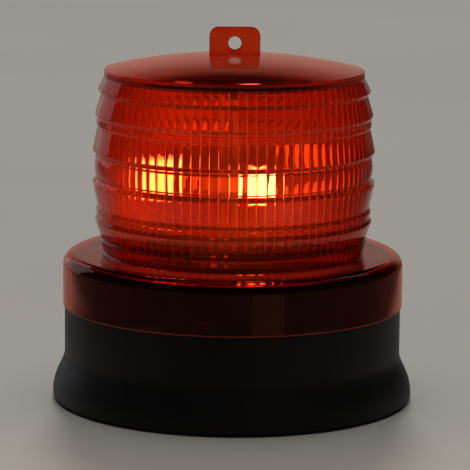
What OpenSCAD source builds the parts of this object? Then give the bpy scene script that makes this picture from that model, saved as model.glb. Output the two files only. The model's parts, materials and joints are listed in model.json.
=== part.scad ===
// Magnetic strobe warning light: a ribbed red lens over a flared black base.
// Millimetres, +Z up, origin on the floor at the centre of the foot. The front is -Y.

/* [Base] */
// Diameter across the lip of the foot
foot_d = 126.2; // [116:0.2:140]
// How far the lip of the foot stands out from the straight wall
flare_w = 4.2; // [3.6:0.1:5]
// Height of the shoulder that the lens skirt stands over
shoulder_z = 32.9; // [32:0.1:36]
// Height over which the wall flares out to the foot
flare_h = 16.5; // [13:0.5:20]
// Thickness of the base wall
base_wall = 3; // [2.6:0.1:3.4]
// Rounding of the lip at the floor
lip_round = 1.5; // [0.8:0.1:2]
// Thickness of the spigot wall
spigot_wall = 3.4; // [3.2:0.1:4]
// Thickness of the deck that closes the base
deck_t = 2.6; // [2.2:0.1:3]
// How far the middle of the deck lies below its rim
well_drop = 3.7; // [3:0.1:4.2]
// Height of the bottom plate's underside over the floor
plate_lift = 3; // [2.8:0.1:3.6]
// Thickness of the bottom plate
plate_t = 3; // [2.4:0.1:4]
// Number of screws that hold the bottom plate
plate_screws = 6; // [4:2:8]
// Width of the rubber ring under the foot
foot_ring_w = 2.4; // [1.8:0.1:2.6]
// Height of the rubber ring under the foot
foot_ring_h = 2.6; // [2:0.1:3]

/* [Lens] */
// How far the lens skirt stands out over the base wall
skirt_over = 0.6; // [0.2:0.1:1.2]
// Wall of the skirt and of the flange above it
skirt_wall = 2.2; // [2:0.1:2.4]
// Height of the skirt from its foot to the flange's flat top
skirt_h = 18.5; // [17.5:0.1:20]
// Radius of the flange's outer corner
flange_round = 4.4; // [3:0.1:6]
// Width of the flange, from the skirt to the tips of the barrel's widest ring
flange_w = 10.2; // [9:0.1:12]
// How much narrower in radius the barrel is at its top than at its middle
barrel_bulge = 2.6; // [2.2:0.1:2.8]
// Depth of each ring's prism
prism_depth = 1.3; // [0.9:0.05:1.5]
// Height of the return under each prism
undercut_h = 1.3; // [1:0.1:1.5]
// Height of the plain collar at the foot of the barrel
collar_h = 5.5; // [4:0.1:7]
// Height of the lowest ring
low_ring_h = 6.2; // [5:0.1:7]
// Height of the two narrow dividing rings
thin_ring_h = 2.4; // [1.8:0.1:3]
// Height of the two deep rings beside the middle one
deep_ring_h = 8.3; // [7:0.1:9.5]
// Height of the rounded middle ring
mid_ring_h = 8.4; // [7:0.1:10]
// Height of the ring above the upper dividing ring
high_ring_h = 7; // [6:0.1:8]
// Height of the topmost ring
top_ring_h = 4.5; // [3.5:0.1:6]
// Wall from the tips of the widest ring to the bore, in the upper part
high_wall = 5.6; // [5:0.1:6.4]
// Wall from the tips of the widest ring to the bore, in the middle part
mid_wall = 5.1; // [4.6:0.1:5.8]
// Wall from the tips of the widest ring to the bore, in the lowest part
low_wall = 4.8; // [4.4:0.1:5.4]
// Number of upright ribs inside the barrel
rib_count = 90; // [60:6:108]
// Depth of the valleys between the ribs
rib_depth = 0.3; // [0.2:0.05:0.5]
// Width of the valleys between the ribs
valley_w = 0.6; // [0.4:0.05:1]

/* [Twist lock] */
// Number of lugs inside the skirt
lug_count = 3; // [2:1:4]
// Width of each lug, in degrees
lug_angle = 5; // [4:1:10]
// How far each lug stands in from the skirt
lug_depth = 1.8; // [1.4:0.1:2]
// Height of each lug
lug_h = 3; // [2:0.1:4]
// Turn from locked to free, in degrees
twist_angle = 20; // [15:1:30]
// Turn of the whole lock about the axis, in degrees
lock_turn = 20; // [0:5:60]

/* [Dome cap] */
// How far the cap's rim stands in from the tips of the topmost ring
cap_inset = 1.5; // [0.6:0.1:2]
// Height of the cap's rim edge
cap_rim_h = 2.5; // [2:0.1:3]
// Rise of the dome over its rim
dome_rise = 5.3; // [4.5:0.1:8]
// Thickness of the dome
dome_t = 2; // [1.6:0.1:2.4]
// Width of the hanging tab
tab_w = 17.6; // [14:0.1:24]
// Height of the hanging tab over the dome
tab_h = 9.5; // [9:0.1:14]
// Thickness of the hanging tab
tab_t = 2.2; // [1.6:0.1:4]
// Corner radius of the hanging tab
tab_round = 3.2; // [1:0.1:4]
// Diameter of the hole in the hanging tab
tab_hole_d = 4.6; // [3:0.1:5.4]
// Height of that hole's centre over the dome
tab_hole_z = 3.9; // [3.4:0.1:5]

/* [Magnet] */
// Diameter of the steel cup round the magnet
magnet_d = 67; // [60:0.5:70]
// Height of the steel cup
magnet_h = 10; // [8:0.1:11]
// Wall of the steel cup
magnet_wall = 1.6; // [1.2:0.1:2.2]
// Bore through the ring magnet
magnet_bore = 13; // [12:0.5:18]
// Diameter of the bolt that holds the magnet
magnet_bolt_d = 5; // [4:0.5:6]

/* [Batteries] */
// Diameter of a battery cell
cell_d = 14.2; // [12:0.1:15]
// Length of a battery cell
cell_l = 50; // [44:0.5:51]
// Number of battery cells
cell_count = 3; // [2:1:3]
// Wall of the battery holder
holder_wall = 1.8; // [1.4:0.1:2.2]

/* [Switch] */
// Gap between the magnet's pan and the switch
switch_gap = 0.6; // [0.4:0.1:3]
// Diameter of the power button
button_d = 7; // [5:0.1:8]
// Travel of the power button
button_travel = 2; // [1:0.1:2]
// Width of the switch housing
switch_w = 11; // [10:0.1:13]
// Height of the switch housing
switch_h = 14; // [12:0.5:20]

/* [Board parts] */
// Length of the driver chip
chip_l = 8; // [6:0.1:10]
// Width of the driver chip
chip_w = 6; // [4:0.1:7]
// Height of the driver chip
chip_h = 2; // [1.2:0.1:3]
// Diameter of the storage capacitor
can_d = 8; // [6:0.1:10]
// Height of the storage capacitor
can_h = 7.5; // [6:0.1:12]
// Diameter of the charge coil over its cheeks
coil_d = 9.2; // [8:0.1:11]
// Diameter of the charge coil's winding
coil_core_d = 6.8; // [5:0.1:7.6]
// Height of the charge coil
coil_h = 5.6; // [4:0.1:8]
// Length of a small resistor
resistor_l = 3.2; // [2:0.1:4]
// Width of a small resistor
resistor_w = 2; // [1:0.1:2.4]
// Height of a small resistor
resistor_h = 1.1; // [0.5:0.1:1.6]

/* [Lamp tower] */
// Diameter of the tube in the middle of the tower
post_d = 5; // [4.4:0.1:8]
// Diameter of that tube's foot, which the circuit board rests on
post_foot_d = 9; // [9:0.5:18]
// Height of the circuit board over the deck
board_lift = 6.7; // [6:0.1:8]
// Diameter of the circuit board
board_d = 57; // [54:0.5:62]
// Thickness of both boards
board_t = 1.6; // [1:0.1:2.4]
// Wall of the two spacer tubes
spacer_wall = 0.8; // [0.6:0.1:2]
// Diameter of the lamp board
lamp_board_d = 44; // [38:0.5:48]
// How far the lamps lie below the middle of the barrel's middle ring
lamp_drop = 3.6; // [0:0.1:5]
// Number of lamps round the lamp board
lamp_count = 4; // [3:1:8]
// Turn of the lamps about the axis, in degrees
lamp_turn = 19; // [0:1:45]
// Diameter of a lamp
lamp_d = 8; // [5:0.1:10]
// Length of a lamp
lamp_l = 9.4; // [8:0.1:11]
// Width of the battery plug under the circuit board
plug_w = 8.2; // [7:0.1:12]
// Depth of that plug, from front to back
plug_y_size = 6; // [5:0.1:8]
// Distance of that plug to the right of the middle
plug_x = -0.5; // [-8:0.1:8]
// Distance of that plug in front of the middle
plug_y = 24.5; // [22:0.1:25]

/* [Solar panel] */
// Diameter of the round solar panel
panel_d = 60; // [50:0.5:64]
// Thickness of the panel
panel_t = 2.4; // [1.6:0.1:3]
// Thickness of the tray under the panel
tray_t = 2; // [1.6:0.1:2.6]
// Width of the tray's rim round the panel
tray_rim = 1.6; // [1:0.1:2.4]
// Height of the hub under the tray
tray_neck_h = 5; // [4:0.1:6]
// How far the panel's top lies below the top of the barrel
panel_drop = 0.2; // [0:0.1:2]
// Number of cells on the panel
panel_strips = 5; // [3:1:7]

/* [Hidden] */
$fn = 96;

// Clearances
gap = 0.3;          // between the lens and what it turns round
fit = 0.1;          // round a spigot or a plate in its seat
slide_fit = 0.15;   // round the power button
merge = 0.2;        // how far joined shapes reach into each other

// Radii and heights of the base
foot_r = foot_d / 2;
body_r = foot_r - flare_w;
cavity_r = body_r - base_wall;
ledge = 1.5;
plate_r = cavity_r + ledge;
plate_top = plate_lift + plate_t;
shell_foot_z = 0.5;
foot_ring_in = 1.3;
foot_ring_r = foot_r - foot_ring_in;
skirt_r = body_r + skirt_over;
skirt_z = shoulder_z + gap;
flange_z = skirt_z + skirt_h;
flange_in_z = flange_z - skirt_wall;
rim_gap = 1.3;
deck_z = flange_in_z - rim_gap;
well_z = deck_z - well_drop;
deck_under = well_z - deck_t;
skirt_in = skirt_r - skirt_wall;
spigot_r = skirt_in - gap;
spigot_in = spigot_r - spigot_wall;
taper_drop = 5;
taper_z = shoulder_z - taper_drop;

// Screws and bosses of the bottom plate
boss_r = 3.8;
boss_inset = 5;
boss_place = cavity_r - boss_inset;
boss_h = 14;
boss_lift = 0.2;
boss_rib_w = 2;
boss_rib_ends = 3;
screw_r = 1.5;
pilot_r = screw_r - 0.15;
screw_head_r = 2.9;
screw_head_h = 1.8;
screw_l = 10;

// Magnet and its pan in the bottom plate
magnet_r = magnet_d / 2;
pan_room = 0.5;
pan_wall = 2.4;
pan_r = magnet_r + pan_room;
pan_out = pan_r + pan_wall;
pan_top = magnet_h + plate_t;
nut_h = 4;
bolt_over = 1;
bolt_end = pan_top + nut_h + bolt_over;
bolt_head_h = 2.6;
magnet_room = 1;

// Battery holder
cell_gap = 0.8;
cell_pitch = cell_d + cell_gap;
cell_button_h = 1.2;
cell_button_r = 2.7;
contact_room = 2.6;
holder_x = cell_count * cell_pitch + 2 * holder_wall;
holder_y = cell_l + 2 * contact_room + 2 * holder_wall;
holder_room = 0.5;
holder_z = bolt_end + holder_room;
holder_floor = holder_z + holder_wall;
cell_z = holder_floor + cell_d / 2;
holder_h = holder_wall + cell_d * 0.6;
holder_foot_r = 2.6;
foot_inset_x = 9.3;
foot_inset_y = 6.4;
foot_x = holder_x / 2 - foot_inset_x;
foot_y = holder_y / 2 - foot_inset_y;
cells_top = holder_floor + cell_d;
contact_t = 0.5;
stud_r = 2;
contact_w = cell_d * 0.7;
contact_h = cell_d * 0.8;
end_side = cell_count % 2 == 1 ? -1 : 1;

// Switch
button_r = button_d / 2;
switch_bore = button_r + slide_fit;
sleeve_wall = 1.2;
collar_w = 1.2;
sleeve_r = switch_bore + sleeve_wall;
collar_r = sleeve_r + collar_w;
switch_r = pan_out + switch_gap + max(collar_r, switch_w / 2);
collar_t = 1.4;
switch_nut_h = 2;
switch_z = plate_top + switch_nut_h;
tag_x = 3;
tag_w = 2;
tag_t = 0.8;
tag_h = 4.8;
switch_top = switch_z + switch_h + tag_h;
plunger_depth = 8;
plunger_room = 1.2;
button_out = 0.7;
button_z = plate_lift - collar_t - button_out;

// Gasket groove in the rim of the deck, inside the slots of the twist lock
slot_r = skirt_in - lug_depth - gap;
gasket_inset = 1;
gasket_w = 2.4;
gasket_out = slot_r - gasket_inset;
gasket_in = gasket_out - gasket_w;
gasket_sink = 1;
gasket_top = flange_in_z - gap;
well_rim = 6;
well_r = gasket_in - well_rim;

// Lens heights, from the flange up
collar_top = flange_z + collar_h;
low_tip = collar_top + low_ring_h;
low_thin = low_tip + undercut_h;
low_thin_top = low_thin + thin_ring_h;
deep_root = low_thin_top + undercut_h;
deep_tip = deep_root + deep_ring_h;
mid_low = deep_tip + undercut_h;
mid_top = mid_low + mid_ring_h;
deep_tip2 = mid_top + undercut_h;
deep_root2 = deep_tip2 + deep_ring_h;
high_thin = deep_root2 + undercut_h / 2;
high_thin_top = high_thin + thin_ring_h;
high_tip = high_thin_top + undercut_h;
high_root = high_tip + high_ring_h;
top_tip = high_root + undercut_h;
barrel_top = top_tip + top_ring_h;
barrel_mid = (mid_low + mid_top) / 2;
barrel_half = barrel_top - barrel_mid;
collar_bead = 0.4;
mid_inset = 1.3;
mid_bow = 0.5;
foot_fillet = 0.6;
barrel_r = skirt_r - flange_w;
high_bore_r = barrel_r - high_wall;
mid_bore_r = barrel_r - mid_wall;
low_bore_r = barrel_r - low_wall;

// Dome cap
cap_r = barrel_r - barrel_bulge - cap_inset;
dome_foot_z = barrel_top + cap_rim_h;
dome_apex = dome_foot_z + dome_rise;
dome_r = (cap_r * cap_r + dome_rise * dome_rise) / (2 * dome_rise);
cap_plug_r = high_bore_r - rib_depth - fit;
cap_plug_t = 1.6;
cap_plug_h = 1.2;
tab_root = 1;

// Twist lock
lug_lift = 1.2;
lug_z = skirt_z + lug_lift;
slot_side = 0.5;
slot_floor = lug_z - gap;
entry_ease = 0.2;    // the entry is this much deeper than the run

// Lamp tower
post_r = post_d / 2;
tail_r = 3;
tail_l = 4;
post_bore = 1.2;
post_nut_h = 2.4;
board_z = well_z + board_lift;
board_top = board_z + board_t;
lamp_z = barrel_mid - lamp_drop;
lamp_board_z = lamp_z - board_t / 2;
lamp_board_top = lamp_board_z + board_t;
lamp_board_r = lamp_board_d / 2;
spacer_in = post_r + fit;
spacer_out = spacer_in + spacer_wall;
lamp_flange = 1;
lamp_flange_w = 0.4;
lamp_room = 0.8;
lamp_foot = lamp_board_r + lamp_room;
leg_w = 0.5;
leg_hold = 3;
plug_lift = 1;
plug_h = board_lift - plug_lift;
plug_hole_r = 2.2;
wire_r = 0.65;
wire_ball = 0.06;
wire_room = 0.9;
wire_low = cells_top + wire_room + wire_r;
wire_high = wire_low + 2 * wire_r + gap;
wire_half = 0.8;

// Solar panel
panel_top = barrel_top - panel_drop;
panel_z = panel_top - panel_t;
tray_z = panel_z - tray_t;
hub_z = tray_z - tray_neck_h;
hub_over = 0.4;
hub_r = spacer_out + hub_over;
riser_room = 0.3;
riser_wire_r = 0.45;
riser_r = hub_r + riser_room + riser_wire_r;
post_top = tray_z - gap;
tray_r = panel_d / 2 + fit + tray_rim;
tray_lip = 0.3;
tray_rib_w = 1.6;
tray_rib_end = 4;
tray_head_h = 1.3;
tray_screw_l = 7;
panel_cell_t = 0.3;
panel_cell_gap = 0.8;
panel_edge = 1.5;

// Places of the parts on the circuit board
chip_place = [13, -13];
chip_legs = 4;
chip_leg_w = 0.8;
chip_leg_l = 1;
chip_leg_h = 0.5;
can_place = [-17, -9];
coil_place = [16, 9];
coil_cheek = 1;
resistor_r = 20;
resistor_turns = [100, 125, 150, 175, 255, 350];

// Barrel outline: the radius that the tips of the rings follow at a height
function tip_r(z) = barrel_r - barrel_bulge * pow((z - barrel_mid) / barrel_half, 2);
function root_r(z) = tip_r(z) - prism_depth;
// Radius of the base wall at a height, a cosine that is steeper near the wall than at the lip
function flare_r(z) = z > flare_h ? body_r
  : body_r + (foot_r - body_r) * (1 + cos(180 * pow(z / flare_h, 1.5))) / 2;
// Points of an arc about a centre, from one angle to another
function arc(c, r, from, to, steps) = [for (i = [0:steps])
  let (a = from + (to - from) * i / steps) [c[0] + r * cos(a), c[1] + r * sin(a)]];

// A ring of square section between two radii and two heights
module ring(inner, outer, low, high) {
  translate([0, 0, low])
    difference() {
      cylinder(r = outer, h = high - low);
      translate([0, 0, -1]) cylinder(r = inner, h = high - low + 2);
    }
}

module round_array(count, place, start = 0) {
  for (i = [0:count - 1]) rotate(start + 360 * i / count) translate([place, 0, 0]) children();
}

// BASE

module base_outline() {
  lip_z = shell_foot_z + lip_round;
  polygon(concat(
    [[0, shell_foot_z]],
    arc([flare_r(lip_z) - lip_round, lip_z], lip_round, -90, 0, 5),
    [for (i = [1:14]) let (z = lip_z + (flare_h - lip_z) * i / 14) [flare_r(z), z]],
    [[body_r, shoulder_z], [spigot_r, shoulder_z], [spigot_r, deck_z - 0.6],
      [spigot_r - 0.6, deck_z], [well_r, deck_z], [well_r, well_z], [0, well_z]]));
}

module base_cavity() {
  polygon([[0, 0], [plate_r + fit, 0], [plate_r + fit, plate_top], [cavity_r, plate_top],
    [cavity_r, taper_z], [spigot_in, taper_z + cavity_r - spigot_in],
    [spigot_in, deck_z - deck_t - gasket_sink], [well_r + deck_t, deck_z - deck_t - gasket_sink],
    [well_r + deck_t, deck_under], [0, deck_under]]);
}

// Entry from the top of the spigot and the run along it, for one lug
module lug_slot() {
  reach = spigot_r - slot_r + 1;
  rotate(-lug_angle / 2 - slot_side)
    rotate_extrude(angle = lug_angle + twist_angle + 2 * slot_side)
      translate([slot_r, slot_floor]) square([reach, lug_h + 2 * gap]);
  rotate(twist_angle - lug_angle / 2 - slot_side)
    rotate_extrude(angle = lug_angle + 2 * slot_side)
      translate([slot_r - entry_ease, slot_floor - entry_ease])
        square([reach + entry_ease, deck_z - slot_floor + 1]);
}

module plate_boss() {
  translate([0, 0, plate_top + boss_lift])
    difference() {
      union() {
        cylinder(r = boss_r, h = boss_h);
        translate([0, -boss_rib_w / 2, boss_rib_ends / 3])
          cube([boss_inset + 3 * merge, boss_rib_w, boss_h - boss_rib_ends]);
      }
      translate([0, 0, -1]) cylinder(r = pilot_r, h = boss_h - 1);
    }
}

module base_shell() {
  color([0.04, 0.04, 0.045]) {
    difference() {
      rotate_extrude() base_outline();
      rotate_extrude() base_cavity();
      ring(foot_ring_r - foot_ring_w, foot_ring_r, -1, foot_ring_h);
      ring(gasket_in - fit, gasket_out + fit, deck_z - gasket_sink, deck_z + 1);
      translate([0, 0, deck_under - 1]) cylinder(r = tail_r + fit, h = deck_t + 2);
      translate([plug_x, -plug_y, deck_under - 1]) cylinder(r = plug_hole_r, h = deck_t + 2);
      round_array(lug_count, 0, lock_turn) lug_slot();
    }
    round_array(plate_screws, boss_place) plate_boss();
  }
}

module foot_ring() {
  color([0.07, 0.07, 0.07]) ring(foot_ring_r - foot_ring_w, foot_ring_r, 0, foot_ring_h);
}

module plate_outline() {
  polygon([[0, magnet_h], [pan_r, magnet_h], [pan_r, plate_lift], [plate_r, plate_lift],
    [plate_r, plate_top], [pan_out, plate_top], [pan_out, pan_top], [0, pan_top]]);
}

module bottom_plate() {
  color([0.06, 0.06, 0.065])
    difference() {
      rotate_extrude() plate_outline();
      translate([0, 0, magnet_h - 1]) cylinder(d = magnet_bolt_d + 2 * fit, h = plate_t + 2);
      translate([0, switch_r, plate_lift - 1]) cylinder(r = sleeve_r + fit, h = plate_t + 2);
      round_array(plate_screws, boss_place) {
        translate([0, 0, plate_lift - 1]) cylinder(r = screw_r + fit, h = plate_t + 2);
        translate([0, 0, plate_lift - 1]) cylinder(r = screw_head_r + fit, h = screw_head_h + 1);
      }
    }
}

// A pan-head screw with a cross slot, head down
module plate_screw() {
  difference() {
    union() {
      cylinder(r = screw_head_r, h = screw_head_h);
      cylinder(r = pilot_r, h = screw_l);
    }
    for (a = [0, 90]) rotate(a) translate([-1.7, -0.35, -1]) cube([3.4, 0.7, 1.9]);
  }
}

module plate_screws_set() {
  color("silver") round_array(plate_screws, boss_place) translate([0, 0, plate_lift]) plate_screw();
}

// MAGNET

module magnet_cup() {
  color("silver")
    difference() {
      cylinder(r = magnet_r, h = magnet_h);
      translate([0, 0, -1]) cylinder(r = magnet_r - magnet_wall, h = magnet_h - magnet_wall + 1);
      cylinder(d = magnet_bolt_d + 2 * fit, h = magnet_h + 1);
    }
}

module magnet_ring() {
  color([0.2, 0.2, 0.21])
    ring(magnet_bore / 2, magnet_r - magnet_wall - magnet_room, merge, magnet_h - magnet_wall);
}

module magnet_bolt() {
  head_z = magnet_h - magnet_wall - bolt_head_h;
  color("silver")
    difference() {
      union() {
        translate([0, 0, head_z]) cylinder(d = magnet_bolt_d * 1.8, h = bolt_head_h);
        translate([0, 0, head_z]) cylinder(d = magnet_bolt_d, h = bolt_end - head_z);
      }
      translate([0, 0, head_z - 1]) cylinder(d = magnet_bolt_d * 0.7, h = bolt_head_h, $fn = 6);
    }
}

// A hexagonal nut that stands on z = 0
module nut(bore_r, across, high) {
  difference() {
    cylinder(d = across / cos(30), h = high, $fn = 6);
    translate([0, 0, -1]) cylinder(r = bore_r, h = high + 2);
  }
}

module magnet_nut() {
  color("silver") translate([0, 0, pan_top]) nut(magnet_bolt_d / 2, magnet_bolt_d * 1.6, nut_h);
}

// BATTERIES

// Place of a cell from left to right, and the side that its button faces
function cell_x(i) = (i - (cell_count - 1) / 2) * cell_pitch;
function button_side(i) = i % 2 == 0 ? 1 : -1;

module battery_holder() {
  inner_x = holder_x - 2 * holder_wall;
  inner_y = holder_y - 2 * holder_wall;
  color([0.09, 0.09, 0.1]) {
    difference() {
      translate([-holder_x / 2, -holder_y / 2, holder_z]) cube([holder_x, holder_y, holder_h]);
      translate([-inner_x / 2, -inner_y / 2, holder_floor]) cube([inner_x, inner_y, holder_h]);
      for (i = [0:cell_count - 1]) translate([cell_x(i), 0, holder_z - 1]) cylinder(r = 3, h = 5);
    }
    for (x = [-foot_x, foot_x], y = [-foot_y, foot_y])
      translate([x, y, pan_top]) cylinder(r = holder_foot_r, h = holder_z - pan_top + merge);
  }
}

module battery_cells() {
  color([0.16, 0.45, 0.25])
    for (i = [0:cell_count - 1]) translate([cell_x(i), 0, cell_z]) rotate([button_side(i) * -90, 0, 0]) {
      cylinder(d = cell_d, h = cell_l - cell_button_h, center = true);
      translate([0, 0, cell_l / 2 - 1]) cylinder(r = cell_button_r, h = 1);
    }
}

// A flat contact on the holder's wall over one or two cells, with a stud to each cell
module contact(first, last, side) {
  wall_y = holder_y / 2 - holder_wall;
  translate([cell_x(first) - contact_w / 2, side > 0 ? wall_y - contact_t : -wall_y, holder_floor])
    cube([cell_x(last) - cell_x(first) + contact_w, contact_t, contact_h]);
  for (i = [first:last]) {
    reach = side == button_side(i) ? cell_l / 2 : (cell_l - cell_button_h) / 2;
    translate([cell_x(i), side * wall_y, cell_z]) rotate([side * 90, 0, 0])
      cylinder(r = stud_r, h = wall_y - reach);
  }
}

// The cells stand in series, so neighbours are joined at the front and the back by turns
module battery_contacts() {
  color("silver") {
    for (i = [0:cell_count - 2]) contact(i, i + 1, -button_side(i));
    contact(0, 0, 1);
    contact(cell_count - 1, cell_count - 1, end_side);
  }
}

// A lead along straight runs, with a ball at each bend
module lead(points) {
  for (i = [0:len(points) - 2]) {
    run = points[i + 1] - points[i];
    long = norm(run);
    translate(points[i]) rotate([0, acos(run[2] / long), atan2(run[1], run[0])])
      cylinder(r = wire_r, h = long, $fn = 24);
  }
  for (i = [1:len(points) - 2]) translate(points[i]) sphere(r = wire_r + wire_ball, $fn = 24);
}

// From the first cell to the switch, from the switch to the plug, from the last cell to the plug
module supply_leads() {
  contact_y = holder_y / 2 - holder_wall - contact_t / 2;
  contact_top = holder_floor + contact_h;
  plug_foot = board_z - plug_h;
  lead_side = 10;
  lead_turn = 14;
  color("firebrick") {
    lead([[cell_x(0), contact_y, contact_top], [cell_x(0), contact_y, wire_low],
      [-tag_x, switch_r, wire_low], [-tag_x, switch_r, switch_top]]);
    lead([[tag_x, switch_r, switch_top], [tag_x, switch_r, wire_high],
      [lead_side, lead_turn, wire_high], [lead_side, -lead_turn, wire_high],
      [plug_x + 1, -plug_y, wire_high], [plug_x + 1, -plug_y, plug_foot]]);
    lead([[cell_x(cell_count - 1), end_side * contact_y, contact_top],
      [cell_x(cell_count - 1), end_side * contact_y, wire_low],
      [plug_x - 1, -plug_y, wire_low], [plug_x - 1, -plug_y, plug_foot]]);
  }
}

module battery_plug() {
  color([0.05, 0.05, 0.05])
    translate([plug_x - plug_w / 2, -plug_y - plug_y_size / 2, board_z - plug_h])
      cube([plug_w, plug_y_size, plug_h]);
}

// SWITCH

module switch_body() {
  color([0.12, 0.12, 0.13]) translate([0, switch_r, switch_z])
    difference() {
      union() {
        translate([-switch_w / 2, -switch_w / 2, 0]) cube([switch_w, switch_w, switch_h]);
        for (x = [-tag_x, tag_x]) translate([x - tag_w / 2, -tag_t / 2, switch_h - merge])
          cube([tag_w, tag_t, tag_h + merge]);
      }
      translate([0, 0, -1]) cylinder(r = switch_bore, h = plunger_depth + 1);
    }
}

module switch_collar() {
  color([0.1, 0.1, 0.1]) translate([0, switch_r, 0]) {
    ring(switch_bore, collar_r, plate_lift - collar_t, plate_lift);
    ring(switch_bore, sleeve_r, plate_lift - merge, switch_z);
  }
}

module switch_nut() {
  color("silver") translate([0, switch_r, plate_top])
    nut(sleeve_r, 2 * collar_r, switch_nut_h);
}

module power_button() {
  color([0.55, 0.05, 0.04]) translate([0, switch_r, button_z])
    difference() {
      cylinder(r = button_r, h = switch_z + plunger_depth - button_travel - plunger_room - button_z);
      translate([0, 0, -1]) ring(button_r * 0.45, button_r * 0.62, 0, 1.4);
    }
}

// LAMP TOWER

module lens_gasket() {
  color([0.1, 0.1, 0.1]) ring(gasket_in, gasket_out, deck_z - gasket_sink, gasket_top);
}

module support_post() {
  color([0.05, 0.05, 0.05])
    difference() {
      union() {
        translate([0, 0, well_z]) cylinder(d = post_foot_d, h = board_lift);
        translate([0, 0, deck_under - tail_l]) cylinder(r = tail_r, h = deck_t + tail_l + merge);
        translate([0, 0, board_z - merge]) cylinder(r = post_r, h = post_top - board_z + merge);
      }
      translate([0, 0, deck_under - tail_l - 1]) cylinder(r = post_bore, h = lamp_z - deck_under);
      translate([0, 0, post_top - tray_screw_l - 2]) cylinder(r = pilot_r, h = tray_screw_l + 3);
    }
}

module post_nut() {
  color("silver") translate([0, 0, deck_under - post_nut_h]) nut(tail_r, 10, post_nut_h);
}

module circuit_board() {
  color([0.05, 0.22, 0.12])
    difference() {
      translate([0, 0, board_z]) cylinder(d = board_d, h = board_t);
      translate([0, 0, board_z - 1]) cylinder(r = post_r + fit, h = board_t + 2);
    }
}

module driver_chip() {
  color([0.08, 0.08, 0.08]) translate([chip_place[0], chip_place[1], board_top]) {
    pitch = (chip_l - chip_leg_w) / chip_legs;
    cube([chip_l, chip_w, chip_h]);
    for (i = [0:chip_legs - 1], side = [-chip_leg_l, chip_w]) translate([pitch * (i + 0.5), side, 0])
      cube([chip_leg_w, chip_leg_l, chip_leg_h]);
  }
}

module storage_capacitor() {
  color([0.1, 0.1, 0.3]) translate([can_place[0], can_place[1], board_top])
    cylinder(d = can_d, h = can_h);
}

module charge_coil() {
  color([0.35, 0.2, 0.1]) translate([coil_place[0], coil_place[1], board_top]) {
    cylinder(d = coil_d, h = coil_cheek);
    cylinder(d = coil_core_d, h = coil_h);
    translate([0, 0, coil_h - coil_cheek]) cylinder(d = coil_d, h = coil_cheek);
  }
}

module small_resistors() {
  color([0.7, 0.6, 0.4]) for (a = resistor_turns)
    rotate(a) translate([resistor_r - resistor_w / 2, -resistor_l / 2, board_top])
      cube([resistor_w, resistor_l, resistor_h]);
}

module lower_spacer() {
  color([0.85, 0.85, 0.83]) ring(spacer_in, spacer_out, board_top, lamp_board_z);
}

module upper_spacer() {
  color([0.85, 0.85, 0.83]) ring(spacer_in, spacer_out, lamp_board_top, hub_z);
}

// Holes for the two leads on one side of the tube
module lead_holes(side, low, high) {
  for (y = [-wire_half, wire_half]) translate([side * riser_r, y, low])
    cylinder(r = riser_wire_r + fit, h = high - low);
}

module lamp_board() {
  color([0.85, 0.85, 0.83])
    difference() {
      translate([0, 0, lamp_board_z]) cylinder(r = lamp_board_r, h = board_t);
      translate([0, 0, lamp_board_z - 1]) cylinder(r = post_r + fit, h = board_t + 2);
      lead_holes(1, lamp_board_z - 1, lamp_board_top + 1);
    }
}

// Places what it holds where each lamp stands, looking out along +X
module each_lamp() {
  for (i = [0:lamp_count - 1]) rotate(lamp_turn + 360 * i / lamp_count) children();
}

module lamps() {
  straight = lamp_l - lamp_d / 2;
  color([1, 0.75, 0.5])
    each_lamp() translate([lamp_foot, 0, lamp_z]) rotate([0, 90, 0]) {
      cylinder(r = lamp_d / 2 + lamp_flange_w, h = lamp_flange);
      cylinder(d = lamp_d, h = straight);
      translate([0, 0, straight]) sphere(d = lamp_d);
    }
}

// Two legs to each lamp, one over and one under the edge of the lamp board
module lamp_legs() {
  color("silver")
    each_lamp() for (z = [lamp_board_top, lamp_board_z - leg_w])
      translate([lamp_board_r - leg_hold, -leg_w / 2, z]) cube([leg_hold + lamp_room, leg_w, leg_w]);
}

// Two leads from the circuit board to the lamp board
module lamp_leads() {
  color([0.1, 0.1, 0.1])
    for (y = [-wire_half, wire_half]) translate([-riser_r, y, board_top])
      cylinder(r = riser_wire_r, h = lamp_board_z - board_top);
}

// SOLAR PANEL

module panel_tray() {
  rib_h = tray_neck_h - 0.6;
  color([0.08, 0.08, 0.085])
    difference() {
      union() {
        translate([0, 0, tray_z]) cylinder(r = tray_r, h = tray_t + panel_t + tray_lip);
        translate([0, 0, hub_z]) cylinder(r = hub_r, h = tray_neck_h + merge);
        for (i = [0:5]) rotate(60 * i + 30) translate([0, -tray_rib_w / 2, tray_z - rib_h])
          cube([tray_r - tray_rib_end, tray_rib_w, rib_h + merge]);
      }
      translate([0, 0, panel_z]) cylinder(d = panel_d + 2 * fit, h = panel_t + 1);
      translate([0, 0, hub_z - 1]) cylinder(r = post_r + fit, h = tray_neck_h + 1);
      translate([0, 0, tray_z - 1]) cylinder(r = screw_r + fit, h = tray_t + 2);
      translate([0, 0, panel_z - tray_head_h]) cylinder(r = screw_head_r + fit, h = tray_head_h + 1);
      lead_holes(1, tray_z - 1, panel_z + 1);
    }
}

module tray_screw() {
  color("silver") translate([0, 0, panel_z]) mirror([0, 0, 1]) {
    cylinder(r = screw_head_r, h = tray_head_h);
    cylinder(r = pilot_r, h = tray_t + tray_screw_l);
  }
}

// Two leads from the panel, through the tray and the lamp board, down to the circuit board
module panel_leads() {
  color("firebrick")
    for (y = [-wire_half, wire_half]) translate([riser_r, y, board_top])
      cylinder(r = riser_wire_r, h = panel_z - board_top);
}

module solar_panel() {
  color([0.05, 0.06, 0.12]) translate([0, 0, panel_z]) cylinder(d = panel_d, h = panel_t);
}

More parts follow.
